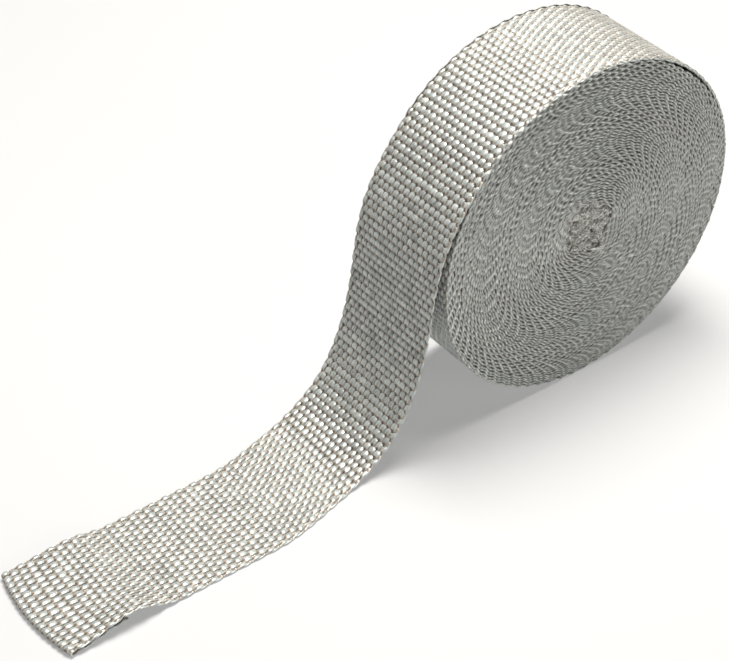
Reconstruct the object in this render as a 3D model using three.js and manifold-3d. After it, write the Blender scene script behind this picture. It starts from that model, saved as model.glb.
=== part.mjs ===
// Exhaust heat wrap: one long woven glass-fibre tape, wound into a roll that stands on its edge.
// The outermost turn runs over the top of the roll, hangs down its left side and lies along the floor,
// where its free end is folded under. Millimetres, +Z up, floor at z = 0, roll axis along Y.
import * as THREE from 'three';
import { mergeVertices } from 'three/addons/utils/BufferGeometryUtils.js';
import Module from 'manifold-3d';

const wasm = await Module();
wasm.setup();

// The tape
const tapeWidth = 50;
const tapeThickness = 1.3;

// The wound roll: each turn takes turnPitch of the radius, a little under the slack tape's thickness
const rollRadius = 73.5;
const turnPitch = 1.1;
const arcSteps = 60;
const arcStep = 2 * Math.PI / arcSteps;
const turnsPerRidge = 4;
const ridgeDepth = 0.8;
const edgeInset = 0.4;
const rimLand = 2;

// The folded start of the tape, which fills a squarish eye in the middle of the roll
const eyeSize = 23;
const eyeCorner = 6;
const eyeDepth = 2.2;
const eyeTurn = THREE.MathUtils.degToRad(20);
const startSize = 17;
const startSlit = 1.2;
const startDepth = 1;

// The slack in the last turn, which opens a thin crescent under it at the upper right
const slackGap = 0.9;
const slackEase = 0.2;
const slackFrom = THREE.MathUtils.degToRad(30);
const slackTo = THREE.MathUtils.degToRad(66);

// The free stretch: it leaves the roll, hangs past a bulge and runs out flat on the floor
const departAngle = THREE.MathUtils.degToRad(138);
const departPull = 37;
const bulgeReach = 80.5;
const bulgeHeight = 57.5;
const bulgeTilt = THREE.MathUtils.degToRad(9.5);
const bulgePullUp = 20;
const bulgePullDown = 19;
const landingReach = 125;
const landingPull = 32;
const freeReach = 250;
const sideDrift = -10;
const driftFrom = 104;
const driftTo = 160;

// The end that is folded under
const hemLength = 28;
const hemGap = 0.5;
const hemArch = 1.2;
const hemRamp = 18;
const foldSteps = 6;

const silverGlass = new THREE.MeshStandardMaterial({ color: 0xb4b2a8, roughness: 0.55, metalness: 0.1 });

// Corners closer than this are one corner
const mergeReach = 1e-4;

// A closed geometry as a solid, its shared corners merged on position alone
function solidOf(geometry) {
  const bare = geometry.clone();
  bare.deleteAttribute('normal');
  bare.deleteAttribute('uv');
  const merged = mergeVertices(bare, mergeReach);
  const mesh = new wasm.Mesh({
    numProp: 3,
    vertProperties: new Float32Array(merged.attributes.position.array),
    triVerts: new Uint32Array(merged.index.array),
  });
  return new wasm.Manifold(mesh);
}

// A solid as a geometry
function geometryOf(solid) {
  const mesh = solid.getMesh();
  const geometry = new THREE.BufferGeometry();
  geometry.setAttribute('position', new THREE.BufferAttribute(new Float32Array(mesh.vertProperties), 3));
  geometry.setIndex(new THREE.BufferAttribute(new Uint32Array(mesh.triVerts), 1));
  geometry.computeVertexNormals();
  return geometry;
}

// An outline in x and z, extruded along Y between two values of y
function extrudeAlongY(outline, yLow, yHigh) {
  const geometry = new THREE.ExtrudeGeometry(outline, { depth: yHigh - yLow, steps: 1, bevelEnabled: false });
  geometry.rotateX(Math.PI / 2);
  geometry.translate(0, yHigh, 0);
  return geometry;
}

// The roll's axis stands at the radius of the turn that it rests on
const axisHeight = lastTurnRadius(-Math.PI / 2);

// A point at an angle and a radius from the roll's axis, angles counted from +X towards +Z
function rollPoint(angle, radius) {
  return new THREE.Vector2(radius * Math.cos(angle), axisHeight + radius * Math.sin(angle));
}

// The radius of the last turn's outer face: a spiral that loses one pitch in a full turn
function lastTurnRadius(angle) {
  return rollRadius - turnPitch * (departAngle - angle) / (2 * Math.PI);
}

// The wound body, turned: ridged ends that show the turns, inset from the tape's own edges
function woundBody() {
  const bodyRadius = rollRadius - turnPitch;
  const face = tapeWidth / 2 - edgeInset;
  const ridgePitch = turnPitch * turnsPerRidge;
  const eyeReach = eyeSize / 2 * Math.SQRT2;
  const ridgeCount = Math.floor((bodyRadius - rimLand - eyeReach) / ridgePitch);
  const nearEnd = [new THREE.Vector2(0, -face)];
  for (let i = ridgeCount; i > 0; i -= 1) {
    const ridgeFoot = bodyRadius - rimLand - ridgePitch * i;
    nearEnd.push(new THREE.Vector2(ridgeFoot - ridgePitch / 2, -face));
    nearEnd.push(new THREE.Vector2(ridgeFoot, -face + ridgeDepth));
  }
  nearEnd.push(new THREE.Vector2(bodyRadius - rimLand - ridgePitch / 2, -face));
  nearEnd.push(new THREE.Vector2(bodyRadius - rimLand, -face + ridgeDepth));
  nearEnd.push(new THREE.Vector2(bodyRadius, -face));
  const farEnd = nearEnd.map((point) => new THREE.Vector2(point.x, -point.y)).reverse();
  const body = new THREE.LatheGeometry([...nearEnd, ...farEnd], arcSteps);
  body.rotateY(arcStep / 2);
  body.translate(0, 0, axisHeight);
  return solidOf(body);
}

// A square outline with round corners, turned about the roll's axis
function roundedSquare(size, corner, turn) {
  const half = size / 2;
  const reach = half - corner;
  const points = [];
  for (let side = 0; side < 4; side += 1) {
    const middle = Math.PI / 4 + side * Math.PI / 2;
    const centre = new THREE.Vector2(Math.cos(middle), Math.sin(middle)).multiplyScalar(reach * Math.SQRT2);
    for (let step = -2; step <= 2; step += 1) {
      const angle = middle + step * Math.PI / 8;
      const point = centre.clone().add(new THREE.Vector2(Math.cos(angle), Math.sin(angle)).multiplyScalar(corner));
      points.push(point.rotateAround(new THREE.Vector2(), turn).add(new THREE.Vector2(0, axisHeight)));
    }
  }
  return new THREE.Shape(points);
}

// A slit across the folded start, between two of its layers
function startSlitOutline(offset) {
  const half = startSize / 2 - startSlit;
  const points = [
    new THREE.Vector2(-half, offset - startSlit / 2),
    new THREE.Vector2(half, offset - startSlit / 2),
    new THREE.Vector2(half, offset + startSlit / 2),
    new THREE.Vector2(-half, offset + startSlit / 2),
  ];
  const turned = points.map((point) => point.rotateAround(new THREE.Vector2(), eyeTurn));
  return new THREE.Shape(turned.map((point) => point.add(new THREE.Vector2(0, axisHeight))));
}

// What is cut from one end of the roll: the eye around the folded start, and the slits between its layers
function eyeCutter(side) {
  const face = tapeWidth / 2 + edgeInset;
  const span = (depth) => (side < 0 ? [-face, -face + depth + edgeInset] : [face - depth - edgeInset, face]);
  const startCorner = eyeCorner * startSize / eyeSize;
  const eye = solidOf(extrudeAlongY(roundedSquare(eyeSize, eyeCorner, eyeTurn), ...span(eyeDepth + edgeInset)));
  const startFrom = side < 0 ? [-face + startDepth + edgeInset, 0] : [0, face - startDepth - edgeInset];
  const start = solidOf(extrudeAlongY(roundedSquare(startSize, startCorner, eyeTurn), ...startFrom));
  const slitSpacing = startSize / 4;
  let cutter = eye.subtract(start);
  for (const offset of [-slitSpacing, 0, slitSpacing]) {
    const slit = solidOf(extrudeAlongY(startSlitOutline(offset), ...span(eyeDepth + edgeInset)));
    cutter = cutter.add(slit);
  }
  return cutter;
}

// The middle line of the last turn and the free stretch, from its start on the roll to the folded end
function tapeMiddleLine() {
  const half = tapeThickness / 2;
  const line = [];
  const turnSteps = Math.round((departAngle + Math.PI) / arcStep);
  for (let i = turnSteps; i >= 0; i -= 1) {
    const angle = departAngle - i * arcStep;
    line.push(rollPoint(angle, lastTurnRadius(angle) - half));
  }
  const leave = line[line.length - 1];
  const leaving = new THREE.Vector2(-Math.sin(departAngle), Math.cos(departAngle));
  const bulge = new THREE.Vector2(-bulgeReach, bulgeHeight);
  const hanging = new THREE.Vector2(-Math.sin(bulgeTilt), -Math.cos(bulgeTilt));
  const landing = new THREE.Vector2(-landingReach, half);
  const hang = new THREE.CubicBezierCurve(
    leave,
    leave.clone().addScaledVector(leaving, departPull),
    bulge.clone().addScaledVector(hanging, -bulgePullUp),
    bulge,
  );
  const land = new THREE.CubicBezierCurve(
    bulge,
    bulge.clone().addScaledVector(hanging, bulgePullDown),
    landing.clone().add(new THREE.Vector2(landingPull, 0)),
    landing,
  );
  line.push(...hang.getSpacedPoints(8).slice(1));
  line.push(...land.getSpacedPoints(14).slice(1));
  const foldRadius = (tapeThickness + hemGap) / 2;
  const foldX = -freeReach + foldRadius + half;
  const hemEnd = -freeReach + hemLength;
  const upper = half + 2 * foldRadius;
  const floorStretch = new THREE.LineCurve(landing, new THREE.Vector2(hemEnd + hemRamp, half));
  line.push(...floorStretch.getPoints(8).slice(1));
  const crest = new THREE.Vector2(hemEnd - hemArch, upper + hemArch);
  const climb = new THREE.CubicBezierCurve(
    new THREE.Vector2(hemEnd + hemRamp, half),
    new THREE.Vector2(hemEnd + hemRamp / 2, half),
    new THREE.Vector2(crest.x + hemRamp / 2, crest.y),
    crest,
  );
  const settle = new THREE.CubicBezierCurve(
    crest,
    new THREE.Vector2((crest.x + foldX) / 2, crest.y),
    new THREE.Vector2((crest.x + foldX) / 2, upper),
    new THREE.Vector2(foldX, upper),
  );
  line.push(...climb.getPoints(6).slice(1));
  line.push(...settle.getPoints(5).slice(1));
  for (let i = 1; i <= foldSteps; i += 1) {
    const angle = Math.PI / 2 + Math.PI * i / foldSteps;
    line.push(new THREE.Vector2(foldX + foldRadius * Math.cos(angle), upper - foldRadius + foldRadius * Math.sin(angle)));
  }
  const hem = new THREE.LineCurve(new THREE.Vector2(foldX, half), new THREE.Vector2(hemEnd, half));
  line.push(...hem.getPoints(3).slice(1));
  return line;
}

// How far the tape has drifted sideways at a place along the floor
function driftAt(x) {
  return sideDrift * THREE.MathUtils.smoothstep(-x, driftFrom, driftTo);
}

// The tape's last turn and free stretch: a rectangular section carried along the middle line
function lastTurnAndTail() {
  const line = tapeMiddleLine();
  const corners = [];
  line.forEach((point, i) => {
    const before = line[Math.max(i - 1, 0)];
    const after = line[Math.min(i + 1, line.length - 1)];
    const run = after.clone().sub(before).normalize();
    const offset = new THREE.Vector2(run.y, -run.x).multiplyScalar(tapeThickness / 2);
    const outer = point.clone().add(offset);
    const inner = point.clone().sub(offset);
    const near = driftAt(point.x) - tapeWidth / 2;
    const far = driftAt(point.x) + tapeWidth / 2;
    corners.push(outer.x, near, outer.y, outer.x, far, outer.y, inner.x, far, inner.y, inner.x, near, inner.y);
  });
  const faces = [0, 2, 1, 0, 3, 2];
  for (let i = 1; i < line.length; i += 1) {
    for (let side = 0; side < 4; side += 1) {
      const next = (side + 1) % 4;
      const here = 4 * i;
      const back = here - 4;
      faces.push(back + side, here + next, here + side, back + side, back + next, here + next);
    }
  }
  const last = 4 * (line.length - 1);
  faces.push(last, last + 1, last + 2, last, last + 2, last + 3);
  const tape = new THREE.BufferGeometry();
  tape.setAttribute('position', new THREE.BufferAttribute(new Float32Array(corners), 3));
  tape.setIndex(faces);
  return solidOf(tape);
}

// What is cut from the wound body's rim under the slack part of the last turn, so that a thin crescent opens
function slackCutter() {
  const steps = Math.round((slackTo - slackFrom) / arcStep);
  const rim = [];
  const floor = [];
  for (let i = 0; i <= steps; i += 1) {
    const angle = slackFrom + (slackTo - slackFrom) * i / steps;
    const meet = lastTurnRadius(angle) - tapeThickness + slackEase;
    rim.push(rollPoint(angle, rollRadius + slackEase));
    floor.push(rollPoint(angle, meet - (slackGap + slackEase) * Math.sin(Math.PI * i / steps)));
  }
  return solidOf(extrudeAlongY(new THREE.Shape([...rim, ...floor.reverse()]), -tapeWidth, tapeWidth));
}

// The whole tape as one solid
function heatWrapTape() {
  let tape = woundBody();
  tape = tape.subtract(eyeCutter(-1)).subtract(eyeCutter(1)).subtract(slackCutter());
  tape = tape.add(lastTurnAndTail());
  return geometryOf(tape);
}

// The origin is the middle of the overall box's underside
const geometry = heatWrapTape();
geometry.computeBoundingBox();
const box = geometry.boundingBox;
geometry.translate(-(box.min.x + box.max.x) / 2, -(box.min.y + box.max.y) / 2, -box.min.z);

const tapeMesh = new THREE.Mesh(geometry, silverGlass);
tapeMesh.name = 'heat_wrap_tape';

const exhaustHeatWrap = new THREE.Group();
exhaustHeatWrap.name = 'exhaust_heat_wrap';
exhaustHeatWrap.add(tapeMesh);

export default exhaustHeatWrap;
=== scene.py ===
import math

import bmesh
import bpy
import numpy as np
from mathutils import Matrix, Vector


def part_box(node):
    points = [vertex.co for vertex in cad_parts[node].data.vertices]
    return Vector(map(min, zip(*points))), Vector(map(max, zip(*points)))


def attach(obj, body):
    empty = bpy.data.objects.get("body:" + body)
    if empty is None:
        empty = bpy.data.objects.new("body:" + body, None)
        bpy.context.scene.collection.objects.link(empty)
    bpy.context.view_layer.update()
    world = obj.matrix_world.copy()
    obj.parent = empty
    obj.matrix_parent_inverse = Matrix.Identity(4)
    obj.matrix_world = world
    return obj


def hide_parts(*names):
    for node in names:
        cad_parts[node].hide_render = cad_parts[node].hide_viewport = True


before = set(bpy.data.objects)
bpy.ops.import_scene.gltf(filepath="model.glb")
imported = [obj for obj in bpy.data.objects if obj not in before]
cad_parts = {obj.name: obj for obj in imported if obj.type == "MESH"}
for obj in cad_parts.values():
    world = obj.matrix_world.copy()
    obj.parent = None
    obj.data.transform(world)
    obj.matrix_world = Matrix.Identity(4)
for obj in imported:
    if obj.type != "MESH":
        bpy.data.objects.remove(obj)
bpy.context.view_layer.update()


# The roll's place
# One woven glass-fibre tape is wound on itself into a roll that stands on its edge, with its axis along Y.
# Every turn adds its thickness to the radius, and the last turn leaves the roll at its upper left.
TAPE = "heat_wrap_tape"
TAPE_WIDTH = 0.050
TAPE_THICKNESS = 0.0013
OUTER_RADIUS = 0.0735
TURN_PITCH = 0.0011
DEPART_ANGLE = math.radians(138)


def turn_radius(angle):
    """Radius of the last turn's outer face: a spiral that loses one turn's pitch in a full circle."""
    return OUTER_RADIUS - TURN_PITCH * (DEPART_ANGLE - angle) / (2 * math.pi)


tape_low, tape_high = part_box(TAPE)
AXIS_X = tape_high.x - turn_radius(0.0)
AXIS_Y = tape_high.y - TAPE_WIDTH / 2
AXIS_Z = turn_radius(-math.pi / 2)


# The photograph's view
# The camera stands to the left of the roll's near face and looks down on it, with the tape's free end
# running towards it on the floor. Its distance and lens come from the roll's two rims and the free end.
VIEW_AZIMUTH = math.radians(-37.003)
VIEW_ELEVATION = math.radians(38.999)
VIEW_DISTANCE = 0.824892
ORBIT_CENTRE = Vector((-0.094679, 0.0, -0.019878))
AIM_POINT = Vector((-0.093605, -0.001466, -0.020525))
FOCAL_PIXELS = 2147.854
IMAGE_WIDTH_PIXELS = 729
SENSOR_MM = 36.0

axis_point = Vector((AXIS_X, AXIS_Y, AXIS_Z))
back = Vector((
    math.sin(VIEW_AZIMUTH) * math.cos(VIEW_ELEVATION),
    -math.cos(VIEW_AZIMUTH) * math.cos(VIEW_ELEVATION),
    math.sin(VIEW_ELEVATION),
))
camera_data = bpy.data.cameras.new("photo_camera")
camera_data.sensor_fit = "HORIZONTAL"
camera_data.sensor_width = SENSOR_MM
camera_data.lens = SENSOR_MM * FOCAL_PIXELS / IMAGE_WIDTH_PIXELS
camera_data.clip_start = 0.01
camera_data.clip_end = 20.0
camera = bpy.data.objects.new("photo_camera", camera_data)
bpy.context.scene.collection.objects.link(camera)
camera.location = axis_point + ORBIT_CENTRE + back * VIEW_DISTANCE
camera.rotation_mode = "QUATERNION"
camera.rotation_quaternion = (axis_point + AIM_POINT - camera.location).to_track_quat("-Z", "Y")
bpy.context.scene.camera = camera


# The tape's run
# The last turn goes once round the roll, leaves it at the upper left, hangs past a slight bulge, and lies
# flat on the floor with its end folded under. It is soft cloth, so it keeps its length along this line.
BULGE = (-0.0805, 0.0575)
BULGE_TILT = math.radians(9.5)
DEPART_PULL = 0.037
BULGE_PULL_UP = 0.020
BULGE_PULL_DOWN = 0.019
LANDING_REACH = 0.125
LANDING_PULL = 0.032
FREE_REACH = 0.250
HEM_LENGTH = 0.028
HEM_GAP = 0.0005
HEM_ARCH = 0.0012
HEM_RAMP = 0.018
SIDE_DRIFT = -0.010
DRIFT_FROM = 0.104
DRIFT_TO = 0.160
FLOOR_PULL = 0.3
TURN_POINTS = 720
CURVE_STEPS = 120
CLIMB_STEPS = 40
SETTLE_STEPS = 60
FOLD_STEPS = 40
HEM_STEPS = 60


def smooth(value, low, high):
    """A step from 0 to 1 between low and high, with flat ends: 3t squared minus 2t cubed."""
    t = np.clip((value - low) / (high - low), 0, 1)
    return t * t * (3 - 2 * t)


def bezier(start, pull, push, end, count):
    """The cubic curve between two points whose handles are pull and push, without its first point."""
    u = np.linspace(0, 1, count + 1)[1:, None]
    start, pull, push, end = (np.asarray(p, float) for p in (start, pull, push, end))
    return (1 - u) ** 3 * start + 3 * (1 - u) ** 2 * u * pull + 3 * (1 - u) * u * u * push + u ** 3 * end


def tape_middle_line():
    """Points in x and z, from the roll's axis line and the floor: one spiral turn, two cubic curves that hang
    and land, a straight run, a rise over the hem, a half circle, and the hem back along the floor."""
    half = TAPE_THICKNESS / 2
    angle = np.linspace(DEPART_ANGLE - 2 * math.pi, DEPART_ANGLE, TURN_POINTS)
    radius = turn_radius(angle) - half
    turn = np.stack([radius * np.cos(angle), AXIS_Z + radius * np.sin(angle)], axis=1)
    leaving = np.array([-math.sin(DEPART_ANGLE), math.cos(DEPART_ANGLE)])
    hanging = np.array([-math.sin(BULGE_TILT), -math.cos(BULGE_TILT)])
    bulge = np.array(BULGE)
    landing = np.array([-LANDING_REACH, half])
    handle = np.array([LANDING_PULL, 0])
    last = turn[-1]
    hang = bezier(last, last + DEPART_PULL * leaving, bulge - BULGE_PULL_UP * hanging, bulge, CURVE_STEPS)
    land = bezier(bulge, bulge + BULGE_PULL_DOWN * hanging, landing + handle, landing, CURVE_STEPS)
    fold_radius = (TAPE_THICKNESS + HEM_GAP) / 2
    fold_x = -FREE_REACH + fold_radius + half
    hem_end = -FREE_REACH + HEM_LENGTH
    upper = half + 2 * fold_radius
    foot = np.array([hem_end + HEM_RAMP, half])
    crest = np.array([hem_end - HEM_ARCH, upper + HEM_ARCH])
    settle_x = (crest[0] + fold_x) / 2
    kept = np.array([1 - FLOOR_PULL, 1])
    moved = np.array([FLOOR_PULL, 0])
    floor_pull = landing * kept + foot * moved
    floor_push = foot * kept + landing * moved
    floor_run = bezier(landing, floor_pull, floor_push, foot, CURVE_STEPS)
    climb = bezier(foot, foot - [HEM_RAMP / 2, 0], crest + [HEM_RAMP / 2, 0], crest, CLIMB_STEPS)
    settle = bezier(crest, (settle_x, crest[1]), (settle_x, upper), (fold_x, upper), SETTLE_STEPS)
    bend = np.linspace(math.pi / 2, 3 * math.pi / 2, FOLD_STEPS + 1)[1:, None]
    fold = np.array([fold_x, upper - fold_radius]) + fold_radius * np.hstack([np.cos(bend), np.sin(bend)])
    hem_x = np.linspace(fold_x, hem_end, HEM_STEPS + 1)[1:]
    hem = np.stack([hem_x, np.full_like(hem_x, half)], axis=1)
    return np.vstack([turn, hang, land, floor_run, climb, settle, fold, hem])


middle_line = tape_middle_line()
line_run = np.concatenate([[0], np.cumsum(np.linalg.norm(np.diff(middle_line, axis=0), axis=1))])
line_heading = np.gradient(middle_line, line_run, axis=0)
line_heading /= np.linalg.norm(line_heading, axis=1)[:, None]
TURN_RUN = line_run[TURN_POINTS - 1]
FOLD_RUN = line_run[-1] - HEM_LENGTH
BOW_REACH = 0.0035
BOW_SPAN = 0.022
EDGE_LIFT = 0.0034
EDGE_LIFT_REACH = 0.027
EDGE_LIFT_SPAN = 0.014
HEM_LIFT = 0.0026
HEM_LIFT_SHARE = 0.8
HEM_TUCK = 0.0011
LIFTED_SHARE = 0.62
LIFT_POWER = 1.3


def on_tape(run, across, height):
    """Places of points on the tape, from their distance along it, across it and above its middle surface.
    The line gives the middle, its left normal the height; the free end bows out at the fold, and its near
    edge lifts off the hem."""
    x = np.interp(run, line_run, middle_line[:, 0])
    z = np.interp(run, line_run, middle_line[:, 1])
    heading_x = np.interp(run, line_run, line_heading[:, 0])
    heading_z = np.interp(run, line_run, line_heading[:, 1])
    length = np.hypot(heading_x, heading_z)
    share = across / (TAPE_WIDTH / 2)
    drift = SIDE_DRIFT * smooth(-x, DRIFT_FROM, DRIFT_TO)
    drift = drift + HEM_TUCK * smooth(run - FOLD_RUN, 0, HEM_LENGTH)
    near_fold = 1 - smooth(np.abs(run - FOLD_RUN), 0, BOW_SPAN)
    bow = -BOW_REACH * (1 - share ** 2) * near_fold
    from_fold = FOLD_RUN - run
    upper = EDGE_LIFT * np.exp(-((from_fold - EDGE_LIFT_REACH) / EDGE_LIFT_SPAN) ** 2)
    lower = HEM_LIFT * smooth(-from_fold, 0, HEM_LIFT_SHARE * HEM_LENGTH)
    near_side = np.clip((LIFTED_SHARE - 1 - share) / LIFTED_SHARE, 0, 1)
    lift = (upper * (from_fold > 0) + lower) * near_side ** LIFT_POWER
    return np.stack([
        AXIS_X + x + heading_z / length * height + bow,
        AXIS_Y + across + drift + np.zeros_like(x),
        z - heading_x / length * height + lift,
    ], axis=-1)


# The warp
# Thirty-two flat glass yarns run the length of the tape. Each goes over one weft yarn and under the next,
# and swells into a pillow where it lies on top, so the tape shows rows of pillows like laid bricks.
WARP_ENDS = 32
WARP_SPACING = 0.00153
PICK_SPACING = 0.0032
PILLOW_HALF_WIDTH = 0.00144
EDGE_PILLOW_HALF_WIDTH = 0.00090
NECK_HALF_WIDTH = 0.00082
YARN_HALF_THICKNESS = 0.00034
CRIMP = 0.00037
RING_PHASES = np.array([-0.44, -0.30, -0.04, 0.21, 0.33])
DIVE_PHASE = 0.37
SILVER = (0.44, 0.468, 0.450)
# The painted shade's colours: warm in the grooves, dark brown in the holes.
WARM_SHADE = (0.43, 0.385, 0.33)
HOLE_SHADE = (0.075, 0.055, 0.04)
RISE_POWER = 0.55
WIDTH_POWER = 0.35
DIVE_THICKNESS = 0.82
SECTION_WIDTH_POWER = 0.5
SECTION_HEIGHT_POWER = 0.45
SECTION_POINTS = 8
OPEN_SECTION_POINTS = 5
OPEN_SECTION_OVERLAP = 0.06
# Where and how strongly the painted shade falls on the yarns:
HOLE_BEGINS = (0.12, 0.42)
HOLE_ENDS = (0.9, 1.0)
HOLE_STRENGTH = 1.2
HOLE_HANGING_STRENGTH = 1.6
HOLE_ROUNDING = 1.5
DIVE_SHADE = 0.06
SIDE_SHADE = 0.05
UNDER_SHADE = 0.25
UNDER_REACH = 0.8
EDGE_LIGHTENS = 0.8
EDGE_SIDE = (0.2, 0.7)


def grid_piece(name, points, wrapped, uv, shades, flip=False):
    """A mesh of many strips at once: points is strips by rings by section points. Each strip's rings are
    joined by quads. Wrapped says that the section closes on itself, and then a face closes each end. uv is
    in metres along and round the yarn; shades are named values for each point, which the material reads."""
    strips, rings, around, _ = points.shape
    number = np.arange(strips * rings * around).reshape(strips, rings, around)
    here = number if wrapped else number[:, :, :-1]
    beside = np.roll(number, -1, axis=2) if wrapped else number[:, :, 1:]
    corners = [here[:, :-1], beside[:, :-1], beside[:, 1:], here[:, 1:]]
    if flip:
        corners.reverse()
    quads = np.stack(corners, axis=-1).reshape(-1, 4)
    lids = np.vstack([number[:, 0, ::-1], number[:, -1]]) if wrapped else np.zeros((0, around), int)
    if flip:
        lids = lids[:, ::-1]
    corner_list = np.concatenate([quads.reshape(-1), lids.reshape(-1)])
    mesh = bpy.data.meshes.new(name)
    mesh.from_pydata(points.reshape(-1, 3), [], quads.tolist() + lids.tolist())
    mesh.polygons.foreach_set("use_smooth", np.ones(len(quads) + len(lids), bool))
    layer = mesh.uv_layers.new(name="yarn")
    layer.data.foreach_set("uv", uv.reshape(-1, 2)[corner_list].astype(np.float32).reshape(-1))
    for shade, values in shades.items():
        attribute = mesh.attributes.new(shade, "FLOAT", "POINT")
        value = np.broadcast_to(values, points.shape[:3]).astype(np.float32)
        attribute.data.foreach_set("value", value.reshape(-1))
    mesh.update()
    piece = bpy.data.objects.new(name, mesh)
    bpy.context.scene.collection.objects.link(piece)
    return piece


def wander(seed, count, reach, knots):
    """A slow random curve between -reach and reach: seeded random knots, joined by a cosine blend."""
    draw = np.random.default_rng(seed).uniform(-reach, reach, knots + 2)
    at = np.linspace(0, knots, count)
    k = at.astype(int)
    t = (1 - np.cos(np.pi * (at - k))) / 2
    return draw[k] * (1 - t) + draw[k + 1] * t


END_MARGIN = 0.001
SWELL_SPREAD = 0.08
TILT_SPREAD = 0.00005
PICKS = int((line_run[-1] - END_MARGIN) / PICK_SPACING)
PICK_RUN = (np.arange(PICKS) + 0.5) * PICK_SPACING + wander(seed=3, count=PICKS, reach=0.00018, knots=60)
dice = np.random.default_rng(11)
PILLOW_SWELL = dice.normal(1.0, SWELL_SPREAD, (WARP_ENDS, PICKS))
PILLOW_TONE = dice.normal(0.0, 1.0, (WARP_ENDS, PICKS))
PILLOW_TILT = dice.normal(0.0, TILT_SPREAD, (WARP_ENDS, PICKS))


def squarer(value, power):
    """A value between -1 and 1 pushed outwards: its size to a power below one, with its sign kept."""
    return np.sign(value) * np.abs(value) ** power


def warp_yarns(first_pick, last_pick, section_angles):
    """The warp yarns between two picks. A yarn's height over the middle is a flattened cosine that is up at
    every second pick and dives a little early, which leaves a round hole past each pillow. The hole is
    painted dark as painted shade, darkest where the tape hangs. Its section is a squarish ellipse whose half
    width grows from the neck to the pillow as the yarn rises or sinks; section_angles are the points round
    it."""
    pick = np.arange(first_pick, last_pick)
    phase = (pick[:, None] + RING_PHASES[None, :]).reshape(-1)
    run = np.interp(phase, np.arange(PICKS), PICK_RUN)
    nearest = np.clip(np.rint(phase).astype(int), 0, PICKS - 1)
    end = np.arange(WARP_ENDS)
    turned = (phase[None, :] + end[:, None] + 0.5) % 2 - 0.5
    eased = np.interp(turned, [-0.5, DIVE_PHASE, 1.5], [-0.5, 0.5, 1.5])
    wave = np.cos(math.pi * eased)
    rise = squarer(wave, RISE_POWER)
    swell = PILLOW_SWELL[:, nearest]
    outermost = np.where((end == 0) | (end == WARP_ENDS - 1), EDGE_PILLOW_HALF_WIDTH, PILLOW_HALF_WIDTH)
    bulge_width = outermost[:, None] * swell - NECK_HALF_WIDTH
    half_width = NECK_HALF_WIDTH + bulge_width * np.abs(rise) ** WIDTH_POWER
    thickness = DIVE_THICKNESS + (1 - DIVE_THICKNESS) * np.abs(rise)
    half_thick = YARN_HALF_THICKNESS * thickness * swell
    across = (end[:, None] - (WARP_ENDS - 1) / 2) * WARP_SPACING + PILLOW_TILT[:, nearest]
    a = section_angles[None, None, :]
    point_across = across[..., None] + half_width[..., None] * squarer(np.cos(a), SECTION_WIDTH_POWER)
    bulging = half_thick[..., None] * squarer(np.sin(a), SECTION_HEIGHT_POWER)
    point_height = (CRIMP * rise)[..., None] + bulging
    point_run = np.broadcast_to(run[None, :, None], point_across.shape)
    points = on_tape(point_run, point_across, point_height)
    uv = np.stack([point_run, np.broadcast_to(half_width[..., None] * a, point_across.shape)], axis=-1)
    # Painted shade: a round dark spot past each pillow's top, stronger on the steep, hanging stretch where
    # light grazes it; darker sides, dips and undersides; less on the outermost yarns' outer sides.
    side = np.abs(np.cos(a))
    dive = 1 - np.abs(rise)[..., None] ** 2
    past_top = (smooth(eased, *HOLE_BEGINS) * (1 - smooth(eased, *HOLE_ENDS)))[..., None]
    steep = np.abs(np.interp(run, line_run, line_heading[:, 1]))[None, :, None]
    on_top = np.clip(1 - HOLE_ROUNDING * side ** 2, 0, 1)
    painted_hole_shade = past_top * (HOLE_STRENGTH + HOLE_HANGING_STRENGTH * steep) * on_top
    under = smooth(-np.sin(a) * np.sign(rise)[..., None], 0.0, UNDER_REACH)
    outward = np.sign(end - (WARP_ENDS - 1) / 2) * ((end == 0) | (end == WARP_ENDS - 1))
    shaded = 1 - EDGE_LIGHTENS * smooth(outward[:, None, None] * np.cos(a), *EDGE_SIDE)
    dark = DIVE_SHADE * dive * side ** 2 + painted_hole_shade + SIDE_SHADE * side ** 6 + UNDER_SHADE * under
    shades = {"depth": shaded * np.clip(dark, 0, 1), "tone": PILLOW_TONE[:, nearest][..., None]}
    return points, uv, shades


TURN_PICKS = int(TURN_RUN / PICK_SPACING)
full_section = np.arange(SECTION_POINTS) * 2 * math.pi / SECTION_POINTS
upper_section = math.pi * np.linspace(1 + OPEN_SECTION_OVERLAP, -OPEN_SECTION_OVERLAP, OPEN_SECTION_POINTS)
tail_middle = (TURN_PICKS + PICKS) // 2
warp_pieces = []
for name, first, last, section, wrapped in (
    ("warp_last_turn", 0, TURN_PICKS + 1, upper_section, False),
    ("warp_hanging", TURN_PICKS, tail_middle + 1, full_section, True),
    ("warp_free_end", tail_middle, PICKS, full_section, True),
):
    points, uv, shades = warp_yarns(first, last, section)
    if name != "warp_free_end":
        keep = points.shape[1] - len(RING_PHASES) + 1
        points, uv = points[:, :keep], uv[:, :keep]
        shades = {key: value[:, :keep] for key, value in shades.items()}
    piece = grid_piece(name, points, wrapped, uv, shades, flip=wrapped)
    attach(piece, "root")
    warp_pieces.append(piece)
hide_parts(TAPE)


PLY_SPACING = 0.0032615
PLY_SLANT = -1.3
PLY_WAVER = 0.0018
PLY_MEAN = 0.75
PLY_HEIGHT = 6
FILAMENT_HEIGHT = 0.5
PATCH_SHARE = 0.18
WARM_STOP = 0.35
PAINTED_SHADE_POWER = 1.5
ROUGHNESS = 0.32
BUNDLE_ROUGHNESS = 0.25
DARK_ROUGHNESS = 0.2


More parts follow.
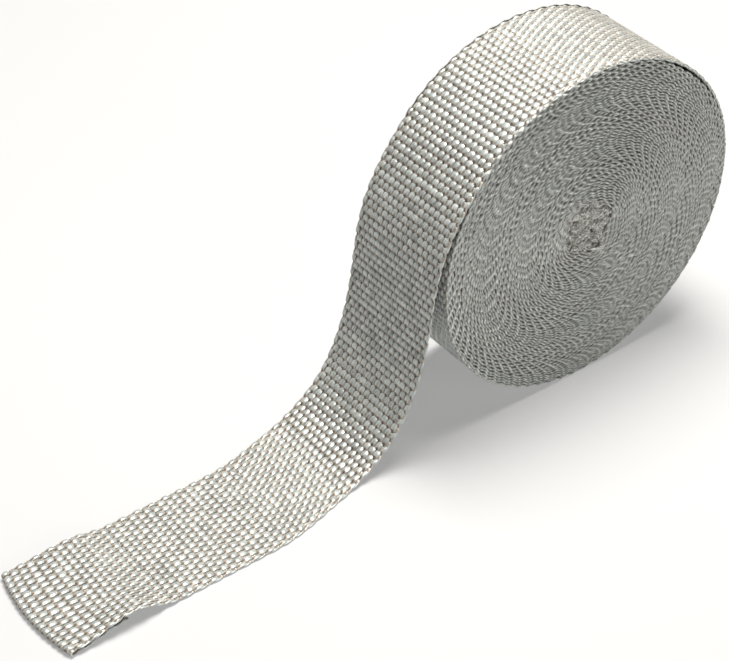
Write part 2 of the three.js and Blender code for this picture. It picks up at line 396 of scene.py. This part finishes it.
class Socket:
    """A node's output. Sums, differences, products and powers of it add Math nodes, and node() adds any
    other node to the same tree."""

    def __init__(self, tree, output=None):
        self.tree = tree
        self.output = output

    def node(self, kind, settings=None, values=None, out=0):
        """A new node of a kind: settings are set first, then values or links go to its inputs."""
        made = self.tree.nodes.new(kind)
        for key, value in (settings or {}).items():
            if key == "stops":
                for _ in range(len(value) - len(made.color_ramp.elements)):
                    made.color_ramp.elements.new(0.5)
                for element, (position, colour) in zip(made.color_ramp.elements, value):
                    element.position = position
                    element.color = (*colour, 1.0)
            else:
                setattr(made, key, value)
        for key, value in (values or {}).items():
            if isinstance(value, Socket):
                self.tree.links.new(value.output, made.inputs[key])
            elif isinstance(value, tuple) and len(value) == 3 and made.inputs[key].type == "RGBA":
                made.inputs[key].default_value = (*value, 1.0)
            else:
                made.inputs[key].default_value = value
        return Socket(self.tree, made.outputs[out])

    def math(self, operation, first, second, clamp=False):
        settings = {"operation": operation, "use_clamp": clamp}
        return self.node("ShaderNodeMath", settings, {0: first, 1: second})

    def __add__(self, other):
        return self.math("ADD", self, other)

    __radd__ = __add__

    def __sub__(self, other):
        return self.math("SUBTRACT", self, other)

    def __rsub__(self, other):
        return self.math("SUBTRACT", other, self)

    def __mul__(self, other):
        return self.math("MULTIPLY", self, other)

    __rmul__ = __mul__

    def __pow__(self, other):
        return self.math("POWER", self, other)


def glass_yarn(name, light, warm, shade, streak, tone_share, ply=0.0):
    """Glass filaments: silver tops that go warm, then dark, in the painted shade the pieces give where the
    yarn dives or lies low; lighter and darker pillows, and loops that the pieces paint lighter as a painted
    highlight; and fine streaks along the filaments, which also roughen the surface. Where the yarn is
    plied, its strands show as slanted stripes of strength ply."""
    material = bpy.data.materials.new(name)
    material.use_nodes = True
    tree = material.node_tree
    shader = tree.nodes["Principled BSDF"]
    base = Socket(tree)
    depth = base.node("ShaderNodeAttribute", {"attribute_name": "depth"}, out=2)
    tone = base.node("ShaderNodeAttribute", {"attribute_name": "tone"}, out=2)
    uv = base.node("ShaderNodeUVMap", {"uv_map": "yarn"})
    flat = {"noise_dimensions": "2D"}
    fine = base.node("ShaderNodeMapping", {}, {"Vector": uv, "Scale": (900.0, 9000.0, 1.0)})
    filaments = base.node("ShaderNodeTexNoise", flat, {"Vector": fine, "Scale": 1.0, "Detail": 2.0})
    wide = base.node("ShaderNodeMapping", {}, {"Vector": uv, "Scale": (300.0, 2200.0, 1.0)})
    bundles = base.node("ShaderNodeTexNoise", flat, {"Vector": wide, "Scale": 1.0, "Detail": 1.0})
    place = base.node("ShaderNodeTexCoord", {}, out=3)
    patches = base.node("ShaderNodeTexNoise", {}, {"Vector": place, "Scale": 45.0, "Detail": 2.0})
    # Painted shade: the pieces' shade value, to a power, moves the colour from silver to warm to dark.
    dark = base.math("ADD", depth, 0.0, clamp=True) ** PAINTED_SHADE_POWER
    stops = ((0.0, light), (WARM_STOP, warm), (1.0, shade))
    colour = base.node("ShaderNodeValToRGB", {"stops": stops}, {"Fac": dark})
    sideways = base.node("ShaderNodeSeparateXYZ", {}, {"Vector": uv}, out=1)
    along = base.node("ShaderNodeSeparateXYZ", {}, {"Vector": uv})
    wound = (along + sideways * PLY_SLANT + (patches - 0.5) * PLY_WAVER) * (2 * math.pi / PLY_SPACING)
    strand = (base.math("SINE", wound, 0.0) * 0.5 + 0.5) ** 2.0 * 2.0 - PLY_MEAN
    # The tone gives random lighter and darker pillows, and on loops a painted highlight.
    level = 1.0 + strand * ply + tone * tone_share
    level = level + (filaments - 0.5) * streak + (bundles - 0.5) * streak + (patches - 0.5) * PATCH_SHARE
    lit = base.node("ShaderNodeVectorMath", {"operation": "SCALE"}, {0: colour, "Scale": level})
    tree.links.new(lit.output, shader.inputs["Base Color"])
    rough = ROUGHNESS + (bundles - 0.5) * BUNDLE_ROUGHNESS + dark * DARK_ROUGHNESS
    tree.links.new(rough.output, shader.inputs["Roughness"])
    height = filaments * FILAMENT_HEIGHT + bundles + strand * (ply * PLY_HEIGHT)
    bump = base.node("ShaderNodeBump", {}, {"Strength": 0.8, "Distance": 0.00008, "Height": height})
    tree.links.new(bump.output, shader.inputs["Normal"])
    shader.inputs["Specular IOR Level"].default_value = 0.6
    shader.inputs["Metallic"].default_value = 0.3
    return material


warp_finish = glass_yarn("warp_glass", SILVER, WARM_SHADE, HOLE_SHADE, streak=1.0, tone_share=0.09)
for piece in warp_pieces:
    piece.data.materials.append(warp_finish)


# The weft
# One yarn goes to and fro across the tape, straight between the two layers of pillows, and turns back in
# a small loop round the outermost warp yarn at each edge. It shows only at the edges and between pillows.
WEFT_HALF_WIDTH = 0.00130
WEFT_HALF_THICKNESS = 0.00016
LOOP_HALF_WIDTH = 0.00032
LOOP_OUT = 0.00028
LOOP_NARROWING = 2.5
LOOP_ROUNDING = 1.5
PAST_EDGE = 0.0006
WEFT_SIDES = 6
# Painted shade on the passes between the layers, towards a dark brown:
CROSSING_SHADE = 0.6
WEFT_SHADE = (0.26, 0.215, 0.165)
CROSS_POINTS = 18
LOOP_POINTS = 7


def weft_run(first_pick, last_pick):
    """The weft's line between two picks, as distance along and across the tape: straight passes from edge to
    edge, joined at alternate edges by half ellipses, one pick apart."""
    reach = (WARP_ENDS - 1) / 2 * WARP_SPACING + PAST_EDGE
    pick = np.arange(first_pick, last_pick)
    side = np.where(pick % 2 == 0, 1.0, -1.0)
    across_pass = np.linspace(-1, 1, CROSS_POINTS)[None, :] * side[:, None] * reach
    run_pass = np.repeat(PICK_RUN[pick][:, None], CROSS_POINTS, axis=1)
    turn = np.linspace(0, math.pi, LOOP_POINTS + 2)[None, 1:-1]
    ahead = PICK_RUN[np.clip(pick + 1, 0, PICKS - 1)]
    middle, half = (PICK_RUN[pick] + ahead) / 2, (ahead - PICK_RUN[pick]) / 2
    across_loop = side[:, None] * (reach + LOOP_OUT * np.sin(turn))
    run_loop = middle[:, None] - half[:, None] * np.cos(turn)
    run = np.hstack([run_pass, run_loop]).reshape(-1)
    across = np.hstack([across_pass, across_loop]).reshape(-1)
    loop = np.hstack([np.zeros_like(run_pass), np.sin(turn) * np.ones_like(run_loop)]).reshape(-1)
    return run[:-LOOP_POINTS], across[:-LOOP_POINTS], loop[:-LOOP_POINTS]


def weft_yarn(first_pick, last_pick):
    """The weft as a six-sided flat section along its line; in a loop it draws together and gets rounder."""
    run, across, loop = weft_run(first_pick, last_pick)
    step_run, step_across = np.gradient(run), np.gradient(across)
    length = np.hypot(step_run, step_across)
    drawn = np.minimum(1, loop * LOOP_NARROWING)
    half_width = WEFT_HALF_WIDTH + (LOOP_HALF_WIDTH - WEFT_HALF_WIDTH) * drawn
    rounded = np.minimum(1, loop * LOOP_ROUNDING)
    half_thick = WEFT_HALF_THICKNESS + (LOOP_HALF_WIDTH - WEFT_HALF_THICKNESS) * rounded
    angle = np.arange(WEFT_SIDES) * 2 * math.pi / WEFT_SIDES
    sideways = half_width[:, None] * np.cos(angle)
    point_run = run[:, None] - (step_across / length)[:, None] * sideways
    point_across = across[:, None] + (step_run / length)[:, None] * sideways
    point_height = half_thick[:, None] * np.sin(angle)
    points = on_tape(point_run, point_across, point_height)[None]
    travel = np.cumsum(length)
    uv = np.stack([np.broadcast_to(travel[:, None], sideways.shape), sideways], axis=-1)[None]
    # Painted shade along the passes between the layers; the loops, which stand out, get a painted highlight.
    shades = {"depth": CROSSING_SHADE * (1 - loop)[None, :, None], "tone": loop[None, :, None]}
    return points, uv, shades


weft_finish = glass_yarn("weft_glass", SILVER, WARM_SHADE, WEFT_SHADE, streak=0.25, tone_share=0.25)
for name, first, last in (("weft_last_turn", 0, TURN_PICKS), ("weft_free_stretch", TURN_PICKS, PICKS)):
    points, uv, shades = weft_yarn(first, last)
    piece = grid_piece(name, points, True, uv, shades, flip=True)
    piece.data.materials.append(weft_finish)
    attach(piece, "root")


# The ends of the roll
# The tape's edge winds from the folded start to the rim, turn on turn. Each turn shows as a narrow ridge
# of edge yarn with a weft loop every second pick; the loops of neighbouring turns line up in curved rays.
EDGE_PITCH = 0.001092
LOOP_SPACING = 0.006523
EYE_RADIUS = 0.0112
RINGS_PER_LOOP = 6.5
EDGE_STEP = LOOP_SPACING / RINGS_PER_LOOP
EDGE_INSET = 0.0004
EDGE_FACE = TAPE_WIDTH / 2 - EDGE_INSET
SQUARE_SWING = 0.0011
SQUARE_FADE = 0.007
START_TURN = math.radians(20)
EDGE_OFFSETS = np.array([-0.5, -0.34, -0.13, 0.13, 0.34, 0.5])
EDGE_PROFILE = np.array([-0.00062, -0.00012, 0.0, 0.0, -0.00012, -0.00062])
LOOP_PROFILE = np.array([0.0, 0.7, 1.0, 1.0, 0.7, 0.0])
LOOP_RISE = 0.00050
LOOP_FLANK = (0.60, 0.97)
LOOP_LEAN = 0.00036
LEAN_FOOT = 0.6
# Loops painted lighter, a painted highlight, and the ridges between them painted a little darker:
LOOP_HIGHLIGHT = 2.0
RIDGE_SHADE = -0.6
LOOP_LIGHTENS = 0.4
HOLLOW_DEPTH = 0.00030
HOLLOW_PHASE = 1.0
HOLLOW_SPREAD = 0.30
HOLLOW_SHADE = 0.35
GAP_SHADE = np.array([0.75, 0.15, 0.0, 0.0, 0.15, 0.75])
FUNNEL_DEPTH = 0.0009
FUNNEL_REACH = 0.0016
FUNNEL_SIDE = math.radians(160)
FUNNEL_SHADE = 0.55
LEAST_REACH = 0.001
SLACK_FROM = math.radians(30)
SLACK_TO = math.radians(66)
SLACK_GAP = 0.0010
SLACK_TURNS = 2.5
STEADY_ANGLE = math.radians(38)
STEADY_SPAN = math.radians(55)
STEADY_WANDER = 0.35
OTHER_WANDER = 0.5
LOOP_SPREAD = 0.25
LEAST_LOOP = 0.3
MOST_LOOP = 1.6
LEVEL_WANDER = 0.00014


def out_of_round(angle, radius):
    """How far the wound turns stand off a true circle: next to the eye they are a square with round corners,
    a fourth harmonic of the angle that fades outwards."""
    return SQUARE_SWING * np.exp(-(radius - EYE_RADIUS) / SQUARE_FADE) * np.cos(4 * (angle - START_TURN))


def tape_edge(x, z, run, side, level, phase, strength):
    """The tape's edge carried along a line in the plane of an end: six points across the edge, a ridge that
    stands out by level, with a loop where the phase comes round and a hollow on both sides of each loop.
    The edge snakes to one side before a loop and to the other after it, as the outermost yarn does.
    Painted shade darkens the gaps between turns and the hollows, and each loop is painted lighter, a painted
    highlight, with the ridge between loops a little darker. Next to the eye the edges sink like a funnel and
    carry a painted shadow, most at the upper left."""
    loop = smooth(np.cos(phase), *LOOP_FLANK)
    from_loop = np.abs((phase + math.pi) % (2 * math.pi) - math.pi)
    hollow = np.exp(-((from_loop - HOLLOW_PHASE) / HOLLOW_SPREAD) ** 2)
    step_x, step_z = np.gradient(x), np.gradient(z)
    length = np.hypot(step_x, step_z)
    lean = LOOP_LEAN * np.sin(phase)
    offset = EDGE_OFFSETS * EDGE_PITCH + lean[:, None] * (LEAN_FOOT + (1 - LEAN_FOOT) * LOOP_PROFILE)
    height = EDGE_PROFILE + level[:, None] + LOOP_RISE * (loop * strength)[:, None] * LOOP_PROFILE
    reach = np.hypot(x, z)
    towards_side = (z * math.sin(FUNNEL_SIDE) + x * math.cos(FUNNEL_SIDE)) / np.maximum(reach, LEAST_REACH)
    upper_left = 0.5 + 0.5 * towards_side
    funnel = np.exp(-np.maximum(reach - EYE_RADIUS, 0) / FUNNEL_REACH) * upper_left
    height = height - HOLLOW_DEPTH * hollow[:, None] - FUNNEL_DEPTH * funnel[:, None]
    points = np.stack([
        AXIS_X + x[:, None] + (step_z / length)[:, None] * offset,
        AXIS_Y + side * (EDGE_FACE + height),
        AXIS_Z + z[:, None] - (step_x / length)[:, None] * offset,
    ], axis=-1)[None]
    uv = np.stack([np.broadcast_to(run[:, None], offset.shape), offset], axis=-1)[None]
    # Painted shade in the gaps between turns, in the hollows and in the funnel; the loops get less of it and
    # a painted highlight, the ridges a little painted shade.
    dark = GAP_SHADE * (1 - LOOP_LIGHTENS * loop[:, None]) + HOLLOW_SHADE * hollow[:, None]
    shades = {
        "depth": np.clip(dark + FUNNEL_SHADE * funnel[:, None], 0, 1)[None],
        "tone": (loop * strength * LOOP_HIGHLIGHT + RIDGE_SHADE)[None, :, None],
    }
    return points, uv, shades


def turn_edges(side):
    """The wound turns on one end of the roll. Going back from where the last turn leaves, the radius squared
    falls evenly with distance, so rings stand evenly along the tape."""
    outer = OUTER_RADIUS - EDGE_PITCH / 2
    total = math.pi * (outer ** 2 - EYE_RADIUS ** 2) / EDGE_PITCH
    run = np.arange(0, total, EDGE_STEP)
    count = len(run)
    radius = np.sqrt(outer ** 2 - EDGE_PITCH * run / math.pi)
    angle = DEPART_ANGLE - (outer - radius) * 2 * math.pi / EDGE_PITCH
    apart = (angle - STEADY_ANGLE + math.pi) % (2 * math.pi) - math.pi
    loose = STEADY_WANDER + OTHER_WANDER * (1 - np.exp(-(apart / STEADY_SPAN) ** 2))
    phase = 2 * math.pi * run / LOOP_SPACING + (side + 1) * math.pi / 2
    phase = phase + loose * wander(seed=21 + side, count=count, reach=1.0, knots=700)
    turns_in = (outer - radius) / EDGE_PITCH
    wrapped_angle = (angle + math.pi) % (2 * math.pi) - math.pi
    share = np.clip((wrapped_angle - SLACK_FROM) / (SLACK_TO - SLACK_FROM), 0, 1)
    fading = np.exp(-np.maximum(turns_in - 1, 0) / SLACK_TURNS) * (turns_in > 0.5)
    pressed = SLACK_GAP * np.sin(math.pi * share) * fading
    middle = radius + out_of_round(angle, radius) - pressed
    middle = middle + wander(seed=31 + side, count=count, reach=0.00010, knots=900)
    draw = np.random.default_rng(41 + side)
    strength = draw.normal(1.0, LOOP_SPREAD, int(total / LOOP_SPACING) + 2)
    strength = np.clip(strength, LEAST_LOOP, MOST_LOOP)
    strength = strength[np.clip((run / LOOP_SPACING).astype(int), 0, len(strength) - 1)]
    level = wander(seed=51 + side, count=count, reach=LEVEL_WANDER, knots=1500)
    level = level + wander(seed=61 + side, count=count, reach=LEVEL_WANDER, knots=110)
    return tape_edge(middle * np.cos(angle), middle * np.sin(angle), run, side, level, phase, strength)


EDGE_SILVER = (0.47, 0.488, 0.465)
EDGE_WARM = (0.36, 0.34, 0.30)
EDGE_SHADE = (0.13, 0.115, 0.095)
EDGE_PLY = 0.30
edge_colours = (EDGE_SILVER, EDGE_WARM, EDGE_SHADE)
edge_finish = glass_yarn("edge_glass", *edge_colours, streak=0.30, tone_share=0.16, ply=EDGE_PLY)
for name, side in (("near_end_turns", -1), ("far_end_turns", 1)):
    points, uv, shades = turn_edges(side)
    piece = grid_piece(name, points, False, uv, shades, flip=side > 0)
    piece.data.materials.append(edge_finish)
    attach(piece, "root")


# The folded start in the eye
# The tape's first few centimetres are folded into a crumpled, squarish plug, a little below the face, and
# the roll is wound round it. Where the tape was cut, a fan of loose yarn ends sticks out.
START_PITCH = 0.0026
START_TURNS = 2.6
START_DEPTH = 0.0008
START_REACH = 0.0140
FOLD_DEPTH = 0.0013
BIG_FOLD = 0.0054
SMALL_FOLD = 0.0020
BIG_SHARE = 0.62
BIG_SLANT = 0.35
SMALL_SLANT = 0.55
INNER_POINTS = 1600
INNER_ANGLE = 1.0
INNER_OVERLAP = 0.0010
INNER_SQUARE = 0.12
INNER_LOOP_SPACING = 0.0034
LEAST_RADIUS = 0.0004
PLUG_RINGS = 60
PLUG_STEPS = 140
PLUG_SQUARE = 0.10
GRAIN_LENGTH = 0.0016
GRAIN_DEPTH = 0.00012
GRAIN_TONE = 1.5
BENT_YARNS = 480
BENT_RINGS = 6
BENT_SIDES = 5
BENT_REACH = 0.0118
BENT_ARCH = 0.00045
BENT_SINK = 0.00006
BENT_RADIUS = 0.00021
LOOSE_YARNS = 26
LOOSE_RINGS = 9
LOOSE_SIDES = 3
LOOSE_RADIUS = 0.00011
LOOSE_TAPER = 0.6
LOOSE_TONE = 2.6
FAN_FOOT = (0.0008, -0.0102)
FAN_LEVEL = 0.0004
FAN_RISE = 0.0014
START_SILVER = (0.52, 0.52, 0.49)
START_WARM = (0.41, 0.395, 0.36)
START_SHADE = (0.12, 0.10, 0.08)


def inner_edge(side):
    """The plug's outermost tape edge: a spiral in from the eye on a square path with round corners, whose
    radius and height wander quickly."""
    count = INNER_POINTS
    wound = np.linspace(0, 2 * math.pi * START_TURNS, count)
    angle = INNER_ANGLE - wound
    base = EYE_RADIUS + INNER_OVERLAP - START_PITCH * wound / (2 * math.pi)
    square = 1 + INNER_SQUARE * np.cos(4 * (angle - START_TURN))
    radius = np.maximum(base, LEAST_RADIUS) * square
    radius = radius + wander(seed=71 + side, count=count, reach=0.0008, knots=46)
    x, z = radius * np.cos(angle), radius * np.sin(angle)
    run = np.concatenate([[0], np.cumsum(np.hypot(np.diff(x), np.diff(z)))])
    level = -START_DEPTH + wander(seed=81 + side, count=count, reach=0.0008, knots=70)
    phase = 2 * math.pi * run / INNER_LOOP_SPACING
    phase = phase + wander(seed=91 + side, count=count, reach=2.5, knots=70)
    strength = 1.2 + wander(seed=95 + side, count=count, reach=0.8, knots=120)
    return tape_edge(x, z, run, side, level, phase, strength)


def plug_fold(x, z, side):
    """How high the crumpled tape stands, from 0 in a valley to 1 on a top: two crossed sets of folds, each
    the size of a sine along a bent line, so their tops are round and their valleys sharp."""
    along = z + BIG_SLANT * x + 0.0011 * np.sin(x / 0.0019 + side)
    across = x - SMALL_SLANT * z + 0.0008 * np.sin(z / 0.0013 + 2 * side)
    big = np.abs(np.sin(math.pi * along / BIG_FOLD + 0.9))
    small = np.abs(np.sin(math.pi * across / SMALL_FOLD + 3 * big))
    return BIG_SHARE * big + (1 - BIG_SHARE) * small


def crumpled_plug(side):
    """The plug's face as rings about the axis, sunk by its folds, with the weave's grain on them; its
    valleys are painted darker, as painted shade.
    """
    turn = np.linspace(0, 2 * math.pi, PLUG_STEPS + 1)[None, :]
    share = np.linspace(0, 1, PLUG_RINGS)[:, None]
    radius = START_REACH * share * (1 + PLUG_SQUARE * np.cos(4 * (turn - START_TURN)))
    x, z = radius * np.cos(turn), radius * np.sin(turn)
    grain = np.sin(2 * math.pi * (x + z) / GRAIN_LENGTH) * np.sin(2 * math.pi * (x - z) / GRAIN_LENGTH)
    fold = plug_fold(x, z, side)
    level = -START_DEPTH - FOLD_DEPTH * (1 - fold) + GRAIN_DEPTH * grain
    points = np.stack([AXIS_X + x, AXIS_Y + side * (EDGE_FACE + level), AXIS_Z + z], axis=-1)[None]
    uv = np.stack([x, z], axis=-1)[None]
    # Painted shade in the folds' valleys.
    shades = {
        "depth": np.clip(1.3 - 1.2 * fold, 0.35, 1)[None],
        "tone": (GRAIN_TONE * grain)[None],
    }
    return points, uv, shades


def bent_yarns(side):
    """The weave's yarns on the crumpled plug: short arched five-sided tubes that lie on its folds, most of
    them slanting up to the right, with their two ends in the surface. Those in the valleys are painted
    darker, as painted shade."""
    count = BENT_YARNS
    draw = np.random.default_rng(111 + side)
    reach = BENT_REACH * np.sqrt(draw.uniform(0, 1, count))
    turn = draw.uniform(0, 2 * math.pi, count)
    heading = draw.normal(0.7, 0.75, count)[:, None]
    length = draw.uniform(0.0012, 0.0034, count)[:, None]
    bend = draw.normal(0, 0.5, count)[:, None]
    t = np.linspace(-0.5, 0.5, BENT_RINGS)[None, :]
    swing = heading + bend * t
    x = (reach * np.cos(turn))[:, None] + length * t * np.cos(swing)
    z = (reach * np.sin(turn))[:, None] + length * t * np.sin(swing)
    fold = plug_fold(x, z, side)
    out = -START_DEPTH - FOLD_DEPTH * (1 - fold) + BENT_ARCH * np.cos(math.pi * t) - BENT_SINK
    a = np.arange(BENT_SIDES) * 2 * math.pi / BENT_SIDES
    points = np.stack([
        AXIS_X + x[..., None] - np.sin(swing)[..., None] * BENT_RADIUS * np.cos(a),
        AXIS_Y + side * (EDGE_FACE + out[..., None] + BENT_RADIUS * np.sin(a)),
        AXIS_Z + z[..., None] + np.cos(swing)[..., None] * BENT_RADIUS * np.cos(a),
    ], axis=-1)
    uv = np.stack([np.broadcast_to((length * t)[..., None], points.shape[:3]), points[..., 0]], axis=-1)
    tone = draw.normal(1.0, 2.2, count)[:, None, None]
    # Painted shade on the yarns that lie in the valleys.
    return points, uv, {"depth": np.clip(0.9 - 1.3 * fold, 0, 1)[..., None], "tone": tone}


def loose_yarns(side):
    """Cut yarn ends: thin three-sided tubes that start close together at the plug's lower edge, spread like a
    fan towards the eye's rim and lift a little on the way."""
    count = LOOSE_YARNS
    draw = np.random.default_rng(101 + side)
    heading = np.radians(draw.uniform(-34, -8, count))[:, None]
    reach = draw.uniform(0.0050, 0.0078, count)[:, None]
    bend = draw.uniform(-0.25, 0.25, count)[:, None]
    t = np.linspace(0, 1, LOOSE_RINGS)[None, :]
    foot_x = FAN_FOOT[0] + 0.0004 * draw.uniform(-1, 1, count)[:, None]
    foot_z = FAN_FOOT[1] + 0.0003 * draw.uniform(-1, 1, count)[:, None]
    x = foot_x + reach * t * np.cos(heading + bend * t)
    z = foot_z + reach * t * np.sin(heading + bend * t)
    out = FAN_LEVEL + FAN_RISE * t * draw.uniform(0.4, 1.0, count)[:, None]
    a = np.arange(LOOSE_SIDES) * 2 * math.pi / LOOSE_SIDES
    thin = LOOSE_RADIUS * (1 - LOOSE_TAPER * t)[..., None]
    side_x, side_z = -np.sin(heading)[..., None], np.cos(heading)[..., None]
    points = np.stack([
        AXIS_X + x[..., None] + side_x * thin * np.cos(a),
        AXIS_Y + side * (EDGE_FACE + out[..., None] + thin * np.sin(a)),
        AXIS_Z + z[..., None] + side_z * thin * np.cos(a),
    ], axis=-1)
    uv = np.stack([np.broadcast_to((reach * t)[..., None], points.shape[:3]), points[..., 0]], axis=-1)
    return points, uv, {"depth": 0.0, "tone": LOOSE_TONE}


SEAM_REACH = 0.000001


def close_seams(piece):
    """Joins points that lie on each other, which closes a piece's seam and its middle."""
    form = bmesh.new()
    form.from_mesh(piece.data)
    bmesh.ops.remove_doubles(form, verts=form.verts, dist=SEAM_REACH)
    form.to_mesh(piece.data)
    form.free()


start_colours = (START_SILVER, START_WARM, START_SHADE)
start_finish = glass_yarn("start_glass", *start_colours, streak=0.35, tone_share=0.20)
for name, side in (("near", -1), ("far", 1)):
    for form, (points, uv, shades), wrapped, flip in (
        ("inner_edge", inner_edge(side), False, side > 0),
        ("crumpled_plug", crumpled_plug(side), False, side < 0),
        ("bent_yarns", bent_yarns(side), True, side > 0),
        ("loose_yarns", loose_yarns(side), True, side > 0),
    ):
        piece = grid_piece(name + "_" + form, points, wrapped, uv, shades, flip=flip)
        if form == "crumpled_plug":
            close_seams(piece)
        piece.data.materials.append(start_finish)
        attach(piece, "root")


# The wound turns behind the surface
# Under the last turn's yarns and between the ridges of the two ends lies the next turn, painted a flat dark
# brown as its deep shade.
GROUND_INSET = 0.0014
GROUND_SINK = 0.0007
GROUND_STEPS = 180
EYE_PIT = 0.0040
GROUND_SHADE = (0.13, 0.11, 0.09)


def ground_body():
    """A closed drum: the profile runs from the axis over one end, along the rim and back over the other end,
    and is carried round the axis as a spiral's radius."""
    face = EDGE_FACE - GROUND_SINK
    pit = 1 - EYE_PIT / face
    reach = np.array([0.0, 0.15, 0.19, 0.65, 0.97, 1.0, 1.0, 0.97, 0.65, 0.19, 0.15, 0.0])
    level = np.array([-pit, -pit, -1, -1, -1, -0.985, 0.985, 1, 1, 1, pit, pit]) * face
    angle = np.linspace(0, 2 * math.pi, GROUND_STEPS + 1)[:-1]
    rim = OUTER_RADIUS - TURN_PITCH - GROUND_INSET
    radius = np.repeat(rim * reach[None, :], len(angle), axis=0)
    points = np.stack([
        AXIS_X + radius * np.cos(angle)[:, None],
        AXIS_Y + np.broadcast_to(level, (len(angle), len(level))),
        AXIS_Z + radius * np.sin(angle)[:, None],
    ], axis=-1)
    uv = np.stack([np.broadcast_to(angle[:, None] * rim, radius.shape), radius], axis=-1)
    closed = np.concatenate([points, points[:1]], axis=0)
    return closed[None], np.concatenate([uv, uv[:1]], axis=0)[None]


points, uv = ground_body()
# Painted shade, full all over, for the turns that lie in shadow under the surface.
ground = grid_piece("inner_turns", points, False, uv, {"depth": 1.0, "tone": 0.0})
close_seams(ground)
ground_colours = (GROUND_SHADE, GROUND_SHADE, GROUND_SHADE)
shade_finish = glass_yarn("inner_glass", *ground_colours, streak=0.3, tone_share=0.0)
ground.data.materials.append(shade_finish)
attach(ground, "root")


# The floor and the light
# A pale seamless floor that glows slightly, under a broad warm lamp high above the roll. A weak lamp in front
# lights the near end, and a small one lies beside the folded end of the tape.
FLOOR_HALF = 6.0
FLOOR_GREY = 0.36
FLOOR_GLOW = 0.28
FLOOR_ROUGHNESS = 0.9
WORLD_STRENGTH = 0.04
floor_corners = [(x * FLOOR_HALF, y * FLOOR_HALF, 0) for x, y in ((-1, -1), (1, -1), (1, 1), (-1, 1))]
floor_mesh = bpy.data.meshes.new("floor")
floor_mesh.from_pydata(floor_corners, [], [(0, 1, 2, 3)])
floor = bpy.data.objects.new("floor", floor_mesh)
bpy.context.scene.collection.objects.link(floor)
floor_material = bpy.data.materials.new("pale_floor")
floor_material.use_nodes = True
floor_shader = floor_material.node_tree.nodes["Principled BSDF"]
floor_shader.inputs["Base Color"].default_value = (FLOOR_GREY, FLOOR_GREY, FLOOR_GREY, 1.0)
floor_shader.inputs["Emission Color"].default_value = (1.0, 1.0, 1.0, 1.0)
floor_shader.inputs["Emission Strength"].default_value = FLOOR_GLOW
floor_shader.inputs["Roughness"].default_value = FLOOR_ROUGHNESS
floor_mesh.materials.append(floor_material)

world = bpy.data.worlds.new("studio")
world.use_nodes = True
backdrop = world.node_tree.nodes["Background"]
backdrop.inputs["Color"].default_value = (1.0, 1.0, 1.0, 1.0)
backdrop.inputs["Strength"].default_value = WORLD_STRENGTH
bpy.context.scene.world = world
bpy.context.scene.view_settings.view_transform = "Standard"


def soft_lamp(name, place, target, size, watts, colour):
    """A square area lamp at a place, turned to a target."""
    data = bpy.data.lights.new(name, "AREA")
    data.size = size
    data.energy = watts
    data.color = colour
    lamp = bpy.data.objects.new(name, data)
    bpy.context.scene.collection.objects.link(lamp)
    lamp.location = place
    lamp.rotation_mode = "QUATERNION"
    lamp.rotation_quaternion = (Vector(target) - Vector(place)).to_track_quat("-Z", "Y")


KEY_COLOUR = (1.0, 0.975, 0.94)
FRONT_COLOUR = (1.0, 1.0, 0.985)
FOLD_COLOUR = (1.0, 1.0, 1.0)
ROLL_MIDDLE = (0, 0, 0.05)
soft_lamp("key_lamp", (0.20, 0.15, 1.20), ROLL_MIDDLE, size=0.60, watts=31.5, colour=KEY_COLOUR)
soft_lamp("front_lamp", (0.30, -1.43, 0.5), ROLL_MIDDLE, size=0.9, watts=5.6, colour=FRONT_COLOUR)
soft_lamp("fold_lamp", (-0.29, -0.26, 0.06), (-0.13, 0, 0), size=0.12, watts=0.24, colour=FOLD_COLOUR)
